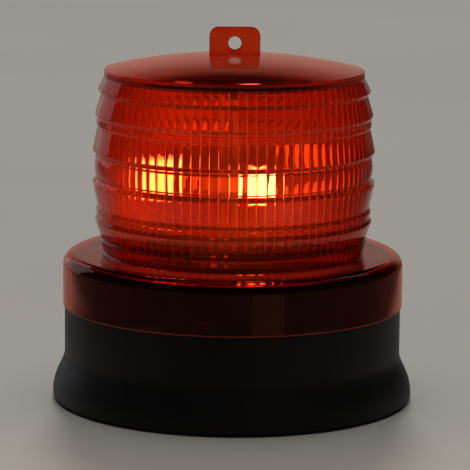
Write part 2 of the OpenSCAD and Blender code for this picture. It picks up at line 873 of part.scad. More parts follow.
module solar_cells() {
  field = panel_d / 2 - panel_edge;
  wide = (2 * field + panel_cell_gap) / panel_strips;
  color([0.03, 0.05, 0.2]) translate([0, 0, panel_top])
    intersection() {
      cylinder(r = field, h = panel_cell_t);
      for (i = [0:panel_strips - 1])
        translate([-field + i * wide, -field, -1]) cube([wide - panel_cell_gap, 2 * field, 3]);
    }
}

// LENS

// Outer outline of the lens from the skirt's foot to the top of the barrel, closed along the axis
module lens_outline() {
  corner = [skirt_r - flange_round, flange_z - flange_round];
  polygon(concat(
    [[0, skirt_z], [skirt_r, skirt_z]],
    arc(corner, flange_round, 0, 90, 8),
    [[root_r(flange_z) + foot_fillet, flange_z], [root_r(flange_z), flange_z + foot_fillet],
      [root_r(collar_top), collar_top - 1.4], [root_r(collar_top) + collar_bead, collar_top - 1],
      [root_r(collar_top) + collar_bead, collar_top - 0.4], [root_r(collar_top), collar_top],
      [tip_r(low_tip), low_tip],
      [root_r(low_thin) + 0.6, low_thin], [root_r(low_thin_top) + 0.6, low_thin_top],
      [root_r(deep_root), deep_root], [tip_r(deep_tip), deep_tip]],
    [for (i = [0:4]) let (t = i / 4)
      [barrel_r - mid_inset + mid_bow * sin(180 * t), mid_low + mid_ring_h * t]],
    [[tip_r(deep_tip2), deep_tip2], [root_r(deep_root2), deep_root2],
      [root_r(high_thin) + 0.5, high_thin], [root_r(high_thin_top) + 0.5, high_thin_top],
      [tip_r(high_tip), high_tip], [root_r(high_root), high_root],
      [tip_r(top_tip), top_tip], [cap_r, barrel_top], [0, barrel_top]]));
}

// The space under the flange, inside the skirt
module skirt_space() {
  inner = flange_round - skirt_wall;
  corner = [skirt_in - inner, flange_in_z - inner];
  polygon(concat([[0, skirt_z - 1], [skirt_in, skirt_z - 1]],
    arc(corner, inner, 0, 90, 6), [[0, flange_in_z]]));
}

// Outline of the bore: flat ribs with a sharp valley between each two
module ribbed_bore(bore_r) {
  pitch = 360 / rib_count;
  half_valley = atan(valley_w / 2 / bore_r);
  flat_r = bore_r - rib_depth;
  polygon([for (i = [0:rib_count - 1],
      p = [[bore_r, 0], [flat_r, half_valley], [flat_r, pitch - half_valley]])
    p[0] * [cos(i * pitch + p[1]), sin(i * pitch + p[1])]]);
}

// The bore between two heights
module bore_stretch(bore_r, low, high) {
  translate([0, 0, low]) linear_extrude(high - low) ribbed_bore(bore_r);
}

module ribbed_lens() {
  low_step = (low_thin + low_thin_top) / 2;
  high_step = (high_thin + high_thin_top) / 2;
  color([0.8, 0.08, 0.05, 0.5]) {
    difference() {
      rotate_extrude() lens_outline();
      rotate_extrude() skirt_space();
      bore_stretch(low_bore_r, flange_in_z - 1, low_step);
      bore_stretch(mid_bore_r, low_step - 1, high_step);
      bore_stretch(high_bore_r, high_step - 1, barrel_top + 1);
    }
    round_array(lug_count, 0, lock_turn) rotate(-lug_angle / 2) rotate_extrude(angle = lug_angle)
      translate([skirt_in - lug_depth, lug_z]) square([lug_depth + merge, lug_h]);
  }
}

module tab_outline() {
  half = tab_w / 2 - tab_round;
  difference() {
    union() {
      translate([-half, -tab_root]) square([2 * half, tab_h + tab_root]);
      translate([-tab_w / 2, -tab_root]) square([tab_w, tab_h + tab_root - tab_round]);
      for (x = [-half, half]) translate([x, tab_h - tab_round]) circle(r = tab_round);
    }
    translate([0, tab_hole_z]) circle(d = tab_hole_d);
  }
}

module dome_outline() {
  centre = [0, dome_apex - dome_r];
  edge = acos(cap_r / dome_r);
  inner_r = dome_r - dome_t;
  inner_edge = acos((cap_plug_r - cap_plug_t) / inner_r);
  polygon(concat(
    arc(centre, dome_r, 90, edge, 14),
    [[cap_r, barrel_top], [cap_plug_r, barrel_top], [cap_plug_r, barrel_top - cap_plug_h],
      [cap_plug_r - cap_plug_t, barrel_top - cap_plug_h]],
    arc(centre, inner_r, inner_edge, 90, 14)));
}

module dome_cap() {
  color([0.8, 0.1, 0.06, 0.6]) {
    rotate_extrude() dome_outline();
    translate([0, tab_t / 2, dome_apex]) rotate([90, 0, 0]) linear_extrude(tab_t) tab_outline();
  }
}

base_shell();
bottom_plate();
plate_screws_set();
foot_ring();
magnet_cup();
magnet_ring();
magnet_bolt();
magnet_nut();
battery_holder();
battery_cells();
battery_contacts();
supply_leads();
battery_plug();
switch_body();
switch_collar();
switch_nut();
power_button();
lens_gasket();
support_post();
post_nut();
circuit_board();
driver_chip();
storage_capacitor();
charge_coil();
small_resistors();
lower_spacer();
lamp_board();
lamps();
lamp_legs();
lamp_leads();
upper_spacer();
panel_tray();
tray_screw();
solar_panel();
solar_cells();
panel_leads();
ribbed_lens();
dome_cap();
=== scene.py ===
import json
import math

import bpy
import numpy as np
from mathutils import Matrix, Vector


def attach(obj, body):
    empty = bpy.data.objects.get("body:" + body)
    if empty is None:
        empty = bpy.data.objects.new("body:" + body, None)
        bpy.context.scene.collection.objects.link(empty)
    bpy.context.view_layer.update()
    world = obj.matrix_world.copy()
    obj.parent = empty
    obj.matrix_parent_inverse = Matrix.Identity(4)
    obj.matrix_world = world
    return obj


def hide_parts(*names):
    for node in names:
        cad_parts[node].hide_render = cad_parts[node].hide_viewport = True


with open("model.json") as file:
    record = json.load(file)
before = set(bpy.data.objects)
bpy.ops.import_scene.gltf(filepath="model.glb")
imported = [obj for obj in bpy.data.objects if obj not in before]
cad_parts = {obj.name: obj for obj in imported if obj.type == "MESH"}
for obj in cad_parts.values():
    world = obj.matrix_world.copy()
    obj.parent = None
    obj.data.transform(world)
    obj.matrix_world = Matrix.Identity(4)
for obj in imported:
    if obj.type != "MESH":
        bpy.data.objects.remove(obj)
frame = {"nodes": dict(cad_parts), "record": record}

MM = 0.001

# Heights and radii of the lens in millimetres, as the part's own source has them
RIBS, RIB_DEPTH, RIB_SLOPE = 90, 0.3, 0.19
SKIRT_Z, FLANGE_Z, SKIRT_R, SKIRT_WALL, CORNER_R = 33.2, 51.7, 59.5, 2.2, 4.4
BARREL_R, BULGE, PRISM = 49.3, 2.6, 1.3
COLLAR, LOW_TIP, LOW_THIN, LOW_THIN_TOP, DEEP_ROOT, DEEP_TIP = 57.2, 63.4, 64.7, 67.1, 68.4, 76.7
MID_LOW, MID_TOP, DEEP_TIP2, DEEP_ROOT2, HIGH_THIN, HIGH_THIN_TOP = 78.0, 86.4, 87.7, 96.0, 96.65, 99.05
HIGH_TIP, HIGH_ROOT, TOP_TIP, BARREL_TOP = 100.35, 107.35, 108.65, 113.15
BARREL_MID = (MID_LOW + MID_TOP) / 2
CAP_R, CAP_RIM, DOME_RISE, DOME_T = 45.2, 2.5, 5.3, 2.0
LOW_BORE, MID_BORE, HIGH_BORE = 44.5, 44.2, 43.7
LOW_STEP, HIGH_STEP = (LOW_THIN + LOW_THIN_TOP) / 2, (HIGH_THIN + HIGH_THIN_TOP) / 2

# How far the small forms of the wall stand from the rings' roots and tips and its edges, in millimetres
FLANGE_FILLET, BEAD, BEAD_TOP, LOW_LIP, HIGH_LIP = 0.6, 0.4, 1.4, 0.6, 0.5
MID_SINK, MID_EDGE, MID_EDGE_H, MID_BULGE = 1.3, 1.2, 0.7, 0.5
LAND_OUT, LAND_IN, BORE_DROP = 0.7, 0.6, 0.6

# The cap's plug, the lugs in the skirt and the hanging tab, in millimetres and degrees
PLUG_FIT, PLUG_T, PLUG_H, SEAT_GAP = 0.1, 1.6, 1.2, 0.02
LUG_TURNS, LUG_ANGLE, LUG_IN, LUG_OUT, LUG_Z, LUG_H = (20, 140, 260), 5, 55.5, 57.4, 34.4, 3.0
TAB_HALF_W, TAB_ROOT, TAB_H, TAB_ROUND, TAB_HALF_T = 8.8, 1.0, 9.5, 3.2, 1.1
HOLE_R, HOLE_Z = 2.3, 3.9

# The lamps' middle and the small lights just outside them, in metres: turn in degrees, height, watts
LAMP_Z, FLASH_R = 0.0786, 0.034
FLASHES = ((-78, 0, 0.055), (-140, 0, 0.055), (109, 0, 0.01), (19, 0, 0.004), (-112, 0.022, 0.022),
           (-70, 0.018, 0.012), (-100, -0.011, 0.005))

# The photo's camera in millimetres and degrees, and the grey of its backdrop
CAMERA_PLACE, CAMERA_LENS, CAMERA_SENSOR = (0.66, -955.5, 225.9), 212.1, 36
CAMERA_PITCH, CAMERA_ROLL = 10.007, 0.54
BACKDROP = (0.347, 0.332, 0.3, 1)

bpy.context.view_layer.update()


# Camera and lamps

def place_camera():
    """The photo's camera: almost a metre in front, ten degrees above, with half a degree of roll."""
    data = bpy.data.cameras.new("camera")
    data.sensor_width = CAMERA_SENSOR
    data.lens = CAMERA_LENS
    camera = bpy.data.objects.new("camera", data)
    camera.matrix_world = (
        Matrix.Translation([value * MM for value in CAMERA_PLACE])
        @ Matrix.Rotation(math.radians(90 - CAMERA_PITCH), 4, "X")
        @ Matrix.Rotation(math.radians(CAMERA_ROLL), 4, "Z")
    )
    bpy.context.scene.collection.objects.link(camera)
    bpy.context.scene.camera = camera


def place_lamp(name, kind, place, aim, mirrored, **settings):
    """A soft lamp at one point, turned towards another. It lights matt surfaces, or, if mirrored is set,
    is only mirrored in glossy ones. Neither the camera nor a look through glass shows it."""
    data = bpy.data.lights.new(name, kind)
    for key, value in settings.items():
        setattr(data, key, value)
    lamp = bpy.data.objects.new(name, data)
    lamp.visible_camera = lamp.visible_transmission = False
    lamp.visible_glossy, lamp.visible_diffuse = mirrored, not mirrored
    back = Vector(place) - Vector(aim)
    lamp.matrix_world = Matrix.Translation(place) @ back.to_track_quat("Z", "Y").to_matrix().to_4x4()
    bpy.context.scene.collection.objects.link(lamp)


# Shader maths

class Value:
    """A number in a shader. Sums and products of it add Math nodes."""

    def __init__(self, finish, socket):
        self.finish, self.socket = finish, socket

    def maths(self, operation, other=None, swapped=False):
        terms = (other, self) if swapped else (self, other)
        return Value(self.finish, self.finish.node("Math", {"operation": operation}, *terms).outputs[0])

    def __add__(self, other):
        return self.maths("ADD", other)

    def __sub__(self, other):
        return self.maths("SUBTRACT", other)

    def __rsub__(self, other):
        return self.maths("SUBTRACT", other, swapped=True)

    def __mul__(self, other):
        return self.maths("MULTIPLY", other)

    def __truediv__(self, other):
        return self.maths("DIVIDE", other)

    __radd__, __rmul__ = __add__, __mul__

    def above(self, edge):
        """One where the value is greater than the edge, and nought elsewhere."""
        return self.maths("GREATER_THAN", edge)

    def ramp(self, low, high, start=0.0, end=1.0):
        """Runs smoothly from start to end while the value goes from low to high."""
        smooth = {"interpolation_type": "SMOOTHSTEP"}
        node = self.finish.node("MapRange", smooth, self, low, high, start, end)
        return Value(self.finish, node.outputs[0])


class Finish:
    """The node tree of one material."""

    def __init__(self, name):
        self.material = bpy.data.materials.new(name)
        self.material.use_nodes = True
        self.tree = self.material.node_tree
        self.tree.nodes.clear()
        self.out = self.node("OutputMaterial")

    def node(self, kind, settings=None, *ordered, **named):
        """Adds a node, sets its settings, and then its inputs, in order or by name."""
        node = self.tree.nodes.new("ShaderNode" + kind)
        for key, value in (settings or {}).items():
            setattr(node, key, value)
        inputs = list(enumerate(ordered)) + [(k.replace("_", " "), v) for k, v in named.items()]
        for key, value in inputs:
            if value is None:
                continue
            socket = value.socket if isinstance(value, Value) else value
            if isinstance(socket, bpy.types.NodeSocket):
                self.tree.links.new(socket, node.inputs[key])
            else:
                node.inputs[key].default_value = socket
        return node

    def place(self):
        """The piece's own coordinates, in metres."""
        return self.node("TexCoord").outputs["Object"]

    def axes(self, which="Object"):
        """Those coordinates, or with which="Normal" the way the surface faces, as three numbers."""
        split = self.node("SeparateXYZ", None, self.node("TexCoord").outputs[which])
        return [Value(self, split.outputs[i]) for i in range(3)]

    def noise(self, scale, detail=3.0, roughness=0.5, stretch=(1, 1, 1)):
        """Cloudy noise between 0 and 1, about so many clouds to the metre."""
        where = self.node("Mapping", None, self.place(), (0, 0, 0), (0, 0, 0), stretch).outputs[0]
        node = self.node("TexNoise", None, Vector=where, Scale=scale, Detail=detail, Roughness=roughness)
        return Value(self, node.outputs[0])

    def blend(self, share, first, second):
        """A colour between two colours."""
        node = self.node("Mix", {"data_type": "RGBA"})
        for key, value in ((0, share), (6, first), (7, second)):
            if isinstance(value, Value):
                self.tree.links.new(value.socket, node.inputs[key])
            elif isinstance(value, bpy.types.NodeSocket):
                self.tree.links.new(value, node.inputs[key])
            else:
                node.inputs[key].default_value = value if key == 0 else (*value, 1)
        return node.outputs[2]

    def bump(self, height, strength, distance):
        """A normal that follows a height, where distance is what a height of one stands for in metres."""
        return self.node("Bump", None, Strength=strength, Distance=distance, Height=height).outputs[0]

    def mix(self, share, first, second):
        """A shader between two shaders."""
        return self.node("MixShader", None, share, first, second).outputs[0]

    def show(self, shader):
        """Joins a shader to the output."""
        self.tree.links.new(shader, self.out.inputs[0])

    def surface(self, **inputs):
        """One main shader for the whole surface."""
        self.show(self.node("BsdfPrincipled", None, **inputs).outputs[0])


def moulded_black(name, tone=0.009, rough=0.5, grain=2600):
    """Black moulded plastic: a fine grain, faint flow clouds and a little dust in the grain."""
    f = Finish(name)
    fine, cloud, dust = f.noise(grain, 2), f.noise(45, 4), f.noise(420, 6, 0.7)
    colour = f.blend(cloud.ramp(0.35, 0.7), (tone * 0.8,) * 3, (tone * 1.15, tone * 1.12, tone * 1.1))
    colour = f.blend(dust.ramp(0.66, 0.8, 0, 0.06), colour, (0.05, 0.048, 0.045))
    f.surface(Base_Color=colour, Roughness=cloud.ramp(0.3, 0.7, rough - 0.05, rough + 0.07),
              Specular_IOR_Level=0.2, Normal=f.bump(fine, 0.04, 0.00006))
    return f.material


def plated(name):
    """Bright zinc plate: fine scratches and cloudy patches of duller plate."""
    f = Finish(name)
    cloud, scratch = f.noise(160, 4), f.noise(900, 3, 0.6, (1, 1, 9))
    colour = f.blend(cloud.ramp(0.4, 0.7), (0.66, 0.66, 0.67), (0.5, 0.5, 0.52))
    f.surface(Base_Color=colour, Metallic=1.0, Roughness=cloud.ramp(0.3, 0.8, 0.24, 0.42),
              Normal=f.bump(scratch, 0.1, 0.00005))
    return f.material


def rubber(name):
    """Soft black rubber, a little paler where it is rubbed."""
    f = Finish(name)
    rub, grain = f.noise(120, 5), f.noise(3000, 2)
    colour = f.blend(rub.ramp(0.5, 0.75), (0.014, 0.014, 0.014), (0.034, 0.033, 0.032))
    f.surface(Base_Color=colour, Roughness=rub.ramp(0.3, 0.7, 0.68, 0.85),
              Normal=f.bump(grain, 0.25, 0.0001))
    return f.material


def sintered(name):
    """Dark grey pressed ferrite with a speckle of pores."""
    f = Finish(name)
    speck = f.noise(1800, 4, 0.7)
    colour = f.blend(speck.ramp(0.5, 0.7), (0.075, 0.075, 0.08), (0.03, 0.03, 0.032))
    f.surface(Base_Color=colour, Roughness=0.62, Normal=f.bump(speck, 0.3, 0.0001))
    return f.material


def tinted(name, dark, light, scale, rough, coat=0.0, grain=1500, gloss=0.5):
    """A plain coloured plastic or resin: two close tones in soft clouds under a fine grain."""
    f = Finish(name)
    cloud, fine = f.noise(scale, 4), f.noise(grain, 2)
    f.surface(Base_Color=f.blend(cloud.ramp(0.35, 0.65), dark, light),
              Roughness=cloud.ramp(0.3, 0.7, rough - 0.04, rough + 0.05), Coat_Weight=coat,
              Specular_IOR_Level=gloss, Normal=f.bump(fine, 0.06, 0.00005))
    return f.material


def circuit(name):
    """Green solder mask over copper tracks that run square to one another."""
    f = Finish(name)
    x, y = f.axes()[:2]
    wander = f.noise(260, 2)
    bars = (x * 900 + wander * 9).maths("SINE").above(0.55)
    rungs = (y * 700 + wander * 7).maths("SINE").above(0.7)
    track = bars.maths("MAXIMUM", rungs)
    colour = f.blend(track, (0.007, 0.03, 0.018), (0.014, 0.06, 0.032))
    f.surface(Base_Color=colour, Roughness=0.5, Specular_IOR_Level=0.2,
              Normal=f.bump(track, 0.2, 0.00004))
    return f.material


def wound(name):
    """Lacquered copper winding: turn beside turn."""
    f = Finish(name)
    z = f.axes()[2]
    turns = (z * 14000).maths("SINE")
    colour = f.blend(turns.ramp(-1, 1), (0.16, 0.05, 0.02), (0.48, 0.2, 0.09))
    f.surface(Base_Color=colour, Metallic=0.6, Roughness=0.35, Normal=f.bump(turns, 0.5, 0.0001))
    return f.material


def cell_face(name):
    """Solar cells: deep blue with fine pale collecting lines and two broad ones."""
    f = Finish(name)
    x, y = f.axes()[:2]
    lines = (y * 3900).maths("SINE").above(0.93)
    bars = (x * 520 + 0.8).maths("SINE").above(0.985)
    cloud = f.noise(140, 3)
    blue = f.blend(cloud.ramp(0.3, 0.7), (0.004, 0.006, 0.02), (0.008, 0.013, 0.045))
    colour = f.blend(lines.maths("MAXIMUM", bars) * 0.6, blue, (0.3, 0.3, 0.32))
    f.surface(Base_Color=colour, Roughness=0.5, Specular_IOR_Level=0.15)
    return f.material


def lit_resin(name):
    """A lamp's resin body. The two lamps at the front glow a cold white at the middle of their height,
    which looks warm through the red lens, and a dull orange towards their upper and lower edge and where
    they face back to the axis. The lamps flash by turns, and the two at the back only glow orange."""
    f = Finish(name)
    x, y, z = f.axes()
    nx, ny = f.axes("Normal")[:2]
    outward = (nx * x + ny * y) / (x * x + y * y).maths("SQRT")
    off = (z - LAMP_Z).maths("ABSOLUTE")
    front = y.ramp(-0.004, 0.004, 1, 0)
    core = off.ramp(0.0026, 0.0046, 1, 0) * outward.ramp(-0.4, 0.6, 0.02, 1) * front
    core = core * x.ramp(-0.031, -0.0265, 0.08, 1)
    hot = f.blend(x.ramp(-0.01, 0), (0.12, 0.185, 0.26), (0.14, 0.27, 0.55))
    rear = f.blend(x.ramp(0.01, 0.02), (0.005, 0.0013, 0.0004), (0.016, 0.0055, 0.0015))
    glow = f.blend(core, f.blend(front, rear, (0.012, 0.004, 0.001)), hot)
    cloud = f.noise(500, 3)
    f.surface(Base_Color=f.blend(cloud.ramp(0.35, 0.65), (0.88, 0.68, 0.58), (0.92, 0.72, 0.62)),
              Roughness=cloud.ramp(0.3, 0.7, 0.1, 0.15), Emission_Color=glow, Emission_Strength=100.0)
    return f.material


def lens_zones(x, y, z):
    """Masks over the lens, each from 0 to 1: the barrel's wall, its bore, the two sides of each valley
    between the bore's ribs, the low rings, the barrel's foot, the whole cap, its rim, its dome, the seam
    under it, where a dark band of painted shade goes, and the hem of the skirt."""
    r = (x * x + y * y).maths("SQRT")
    turn = (y.maths("ARCTAN2", x) * (RIBS / (2 * math.pi))).maths("FRACT")
    barrel = z.ramp(0.0512, 0.0525) * z.ramp(BARREL_TOP * MM - 0.0004, BARREL_TOP * MM, 1, 0)
    bore = r.ramp(0.0448, 0.045, 1, 0) * barrel * z.ramp(0.058, 0.07, 0.06, 1)
    foot = z.ramp(0.0503, 0.0508) * z.ramp(0.0565, 0.059, 1, 0)
    cap = z.ramp(BARREL_TOP * MM - 0.0002, BARREL_TOP * MM + 0.0002)
    # The seam under the cap's rim and the ring under the dome's plug: painted shade, a dark band under the
    # rim.
    shaded_seam = z.ramp(0.1134, 0.1137, 1, 0) * r.ramp(0.0452, 0.0456, 1, 0)
    shaded_seam = shaded_seam.maths("MAXIMUM", z.ramp(0.1152, 0.116, 1, 0) * r.ramp(0.044, 0.0446, 1, 0))
    return {
        "barrel": barrel,
        "bore": bore,
        # The two sides of each valley carry painted light: a painted highlight line on the milky side and a
        # painted shade line on the darker side.
        "valley": turn.ramp(0.87, 0.95),
        "edge": turn.ramp(0.07, 0.11, 1, 0) * bore,
        # The low rings carry painted shade.
        "low": z.ramp(0.0555, 0.058) * z.ramp(0.0615, 0.0655, 1, 0),
        # The foot's mask is strongest at the front, where its matt veil is painted light.
        "foot": foot * r.ramp(0.05, 0.0556, 1, 0) * y.ramp(-0.042, -0.015, 1, 0.12),
        "cap": cap,
        "rim": cap * z.ramp(0.1152, 0.1158, 1, 0),
        "dome": cap * z.ramp(0.1215, 0.122, 1, 0),
        "shaded_seam": shaded_seam * z.ramp(0.1117, 0.1119),
        # The hem's matt band makes a painted highlight line.
        "hem": z.ramp(0.0334, 0.0339, 1, 0) * r.ramp(0.0585, 0.059),
    }


def lens_colour(f, zones, slant, cloud):
    """The red of the plastic, with a little more orange in the barrel, whose wall is darker where it is
    seen at a slant. It is darker still on one side of each valley and in the low rings, and darkest at
    the seam under the cap's rim: these are painted shade."""
    shell = f.blend(cloud.ramp(0.35, 0.65), (0.87, 0.034, 0.003), (0.9, 0.04, 0.004))
    wall = f.blend(cloud.ramp(0.35, 0.65), (0.83, 0.12, 0.016), (0.88, 0.135, 0.02))
    wall = f.blend(slant.ramp(0.25, 0.95), wall, (0.3, 0.014, 0.007))
    # One side of each valley and the low rings are darker red: painted shade.
    wall = f.blend(zones["edge"].maths("MAXIMUM", zones["low"] * 0.6), wall, (0.3, 0.02, 0.002))
    # The seam's dark red is painted shade under the cap's rim.
    return f.blend(zones["shaded_seam"], f.blend(zones["barrel"], shell, wall), (0.25, 0.012, 0.002))


def lens_haze(zones, y, z):
    """The share of the plastic that is milky: one side of each valley and a thin veil on the bore, the
    dome but for its front, the barrel's foot and the skirt's hem. The milky side of each valley makes a
    painted highlight line, the dome's clear front stays dark as painted shade, and the matt veils on the
    foot, mostly at its front, and on the hem are painted light."""
    veil = z.ramp(0.067, 0.078, 0.03, 0) + z.ramp(0.09, 0.1, 0.015, 0.04)
    # One side of each valley is milky, which makes a painted highlight line there.
    haze = zones["bore"] * (zones["valley"] * 0.26 + veil) + zones["barrel"].ramp(0, 1, 0.003, 0.01)
    # The dome's front is left clear, so that it stays dark: painted shade.
    haze = haze + zones["dome"] * y.ramp(-0.037, -0.028, 0, 0.12)
    # The matt veil on the foot, mostly at its front, is painted light, and the one on the hem a painted
    # highlight line.
    return haze + zones["foot"] * 0.13 + zones["hem"] * 0.5


def red_glass(name):
    """Transparent red plastic, hazy in places. Part of what it mirrors is tinted, as its inner faces
    mirror it. Light from the lamps passes it straight. Its darker reds and part of its haze are painted
    light and shade, at the valleys, the low rings, the seam, the dome, the foot and the hem."""
    f = Finish(name)
    x, y, z = f.axes()
    zones = lens_zones(x, y, z)
    barrel, dome, glow = zones["barrel"], zones["dome"], zones["cap"] + zones["foot"] + zones["hem"]
    cloud, fine = f.noise(38, 4), f.noise(1400, 2)
    slant = Value(f, f.node("LayerWeight", None, 0.5).outputs["Facing"])
    bump = f.bump(fine, 0.02, 0.00003)
    dull_rim = zones["rim"] * 0.15
    outer = f.node("BsdfPrincipled", None, Base_Color=lens_colour(f, zones, slant, cloud),
                   Roughness=cloud.ramp(0.3, 0.75, 0.025, 0.05) + dull_rim, IOR=1.5,
                   Transmission_Weight=1.0, Specular_IOR_Level=0.3, Normal=bump)
    inner = f.node("BsdfGlass", None, (0.9, 0.24, 0.075, 1), dull_rim + 0.03, 1.5, bump)
    cloudy = f.node("BsdfTranslucent", None, (0.92, 0.21, 0.05, 1))
    dull = f.node("BsdfDiffuse", None, (0.85, 0.13, 0.05, 1))
    clear = f.node("BsdfTransparent", None, (0.6, 0.24, 0.13, 1))
    plain = barrel.ramp(0, 1, 0.5, 0.45) + dome * 0.15 + slant.ramp(0.4, 1, 0, 0.3) * barrel
    plain = plain.maths("MAXIMUM", zones["edge"] * 0.7).maths("MAXIMUM", zones["shaded_seam"])
    body = f.mix(plain, inner.outputs[0], outer.outputs[0])
    milky = f.mix(glow.above(0.001), cloudy.outputs[0], dull.outputs[0])
    body = f.mix(lens_haze(zones, y, z), body, milky)
    f.show(f.mix(f.node("LightPath").outputs["Is Shadow Ray"], body, clear.outputs[0]))
    return f.material


def paper(name):
    """The floor: a sheet of warm grey paper, almost even, with the faintest clouds. Where the sheet ends,
    in front and on both sides, light, gloss and glass meet a dark grey instead: painted shade, which keeps
    dark what the object mirrors and the light bounced onto it. Behind the object they see the
    sheet at its own grey, however far it lies from the lamps. The camera sees paper everywhere."""
    f = Finish(name)
    x, y = f.axes()[:2]
    cloud = f.noise(2.2, 3)
    right = (x - y * 0.1).ramp(0.13, 0.2)
    left = (x * -1).ramp(0.13, 0.2) * y.ramp(0.0, 0.16, 1, 0)
    left = left.maths("MAXIMUM", (x * -1 - y * 0.35).ramp(0.15, 0.25))
    # Where the sheet ends: painted shade that only light, gloss and glass meet.
    end = right.maths("MAXIMUM", left).maths("MAXIMUM", y.ramp(-0.165, -0.138, 1, 0))
    grey = f.blend(cloud.ramp(0.3, 0.7), (0.335, 0.32, 0.288), (0.355, 0.34, 0.307))
    # The dark grey beyond the sheet is painted shade.
    dark = f.blend(cloud.ramp(0.3, 0.7), (0.08, 0.074, 0.066), (0.09, 0.083, 0.075))
    sheet = f.node("BsdfPrincipled", None, Base_Color=grey, Roughness=0.75)
    painted_dark_surround = f.node("BsdfPrincipled", None, Base_Color=dark, Roughness=0.75)
    far = f.node("Emission", None, BACKDROP, 1.0)
    path = f.node("LightPath").outputs
    camera = Value(f, path["Is Camera Ray"])
    seen = Value(f, path["Is Glossy Ray"]).maths("MAXIMUM", path["Is Transmission Ray"])
    ground = f.mix(end * (1 - camera), sheet.outputs[0], painted_dark_surround.outputs[0])
    f.show(f.mix(seen * y.ramp(0.5, 1.5) * (1 - right) * (1 - left), ground, far.outputs[0]))
    return f.material


FINISHES = {
    "black_plastic": moulded_black("black_plastic"),
    "white_plastic": tinted("white_plastic", (0.15, 0.125, 0.1), (0.19, 0.16, 0.13), 90, 0.42),
    "plated_steel": plated("plated_steel"),
    "black_rubber": rubber("black_rubber"),
    "ferrite": sintered("ferrite"),
    "cell_sleeve": tinted("cell_sleeve", (0.02, 0.13, 0.05), (0.03, 0.17, 0.07), 60, 0.25, 0.3),
    "lead_insulation": tinted("lead_insulation", (0.24, 0.012, 0.01), (0.3, 0.018, 0.014), 200, 0.4),
    "button_plastic": tinted("button_plastic", (0.36, 0.012, 0.01), (0.42, 0.018, 0.012), 300, 0.22, 0.3),
    "board_resin": circuit("board_resin"),
    "chip_resin": moulded_black("chip_resin", 0.02, 0.55, 5000),
    "capacitor_sleeve": tinted("capacitor_sleeve", (0.008, 0.012, 0.05), (0.012, 0.018, 0.07), 300, 0.28,
                               0.3),
    "coil_winding": wound("coil_winding"),
    "resistor_body": tinted("resistor_body", (0.33, 0.26, 0.16), (0.4, 0.32, 0.2), 900, 0.5),
    "lamp_resin": lit_resin("lamp_resin"),
    "panel_resin": tinted("panel_resin", (0.008, 0.009, 0.016), (0.011, 0.012, 0.022), 120, 0.5, gloss=0.1),
    "silicon": cell_face("silicon"),
    "red_lens": red_glass("red_lens"),
}


def dress(thing, finish):
    """One material for the whole piece."""
    thing.data.materials.clear()
    thing.data.materials.append(finish)


def dress_frame():
    """Every CAD node gets the finish of its slot."""
    for part in frame["record"]["subparts"]:
        dress(frame["nodes"][part["node"]], FINISHES[part["material_slot"]])


# Surfaces

def make_piece(name, points, faces, body, slot, smooth=True):
    """A mesh from points in millimetres and faces of three or four corners."""
    mesh = bpy.data.meshes.new(name)
    mesh.from_pydata((np.asarray(points) * MM).tolist(), [], [list(map(int, f)) for f in faces])
    mesh.update()
    mesh.polygons.foreach_set("use_smooth", np.full(len(mesh.polygons), smooth))
    thing = bpy.data.objects.new(name, mesh)
    bpy.context.scene.collection.objects.link(thing)
    mesh.materials.append(FINISHES[slot])
    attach(thing, body)
    return thing


def eased(line, reach, steps=2):
    """Rounds each inner corner V of an open line of (r, z) between A and B, the points at most reach from V
    on its two sides: P(t) = (1-t)^2 A + 2t(1-t) V + t^2 B. A support point beside each end keeps the flats
    flat."""
    line = np.asarray(line, float)
    t = np.linspace(0, 1, steps + 1)[:, None]
    rounded = [line[:1]]
    for a, v, b in zip(line[:-2], line[1:-1], line[2:]):
        da, db = np.linalg.norm(a - v), np.linalg.norm(b - v)
        ra, rb = min(reach, 0.35 * da), min(reach, 0.35 * db)
        ua, ub = (a - v) / da, (b - v) / db
        start, end = v + ua * ra, v + ub * rb
        rounded.append([v + ua * ra * 1.3])
        rounded.append((1 - t) ** 2 * start + 2 * t * (1 - t) * v + t ** 2 * end)
        rounded.append([v + ub * rb * 1.3])
    return np.vstack(rounded + [line[-1:]])


def arc(centre, radius, start, end, steps):
    """Points on a circle in (r, z), from one angle to another in degrees."""
    a = np.radians(np.linspace(start, end, steps + 1))
    return np.stack([centre[0] + radius * np.cos(a), centre[1] + radius * np.sin(a)], 1)


def even(count):
    """So many angles, evenly round the axis."""
    return np.linspace(0, 2 * math.pi, count, endpoint=False)


def grid_faces(rows, columns, closed=True):
    """Quads over a grid whose columns close on themselves, and whose rows do too if closed."""
    i, j = np.meshgrid(np.arange(rows if closed else rows - 1), np.arange(columns), indexing="ij")
    i2, j2 = (i + 1) % rows, (j + 1) % columns
    corners = [i * columns + j, i * columns + j2, i2 * columns + j2, i2 * columns + j]
    return np.stack([c.ravel() for c in corners], 1).tolist()


def turned(line, angles, dent=None):
    """A closed line of (r, z) carried round the axis: x = r cos a, y = r sin a. dent(r, a) gives the radius
    where it isn't the same all round. The line runs anticlockwise in (r, z)."""
    line = np.asarray(line, float)
    a = angles[None, :]
    r, z = line[:, :1] + 0 * a, line[:, 1:] + 0 * a
    if dent:
        r = dent(r, a)
    points = np.stack([r * np.cos(a), r * np.sin(a), z], -1).reshape(-1, 3)
    return points, grid_faces(len(line), len(angles))


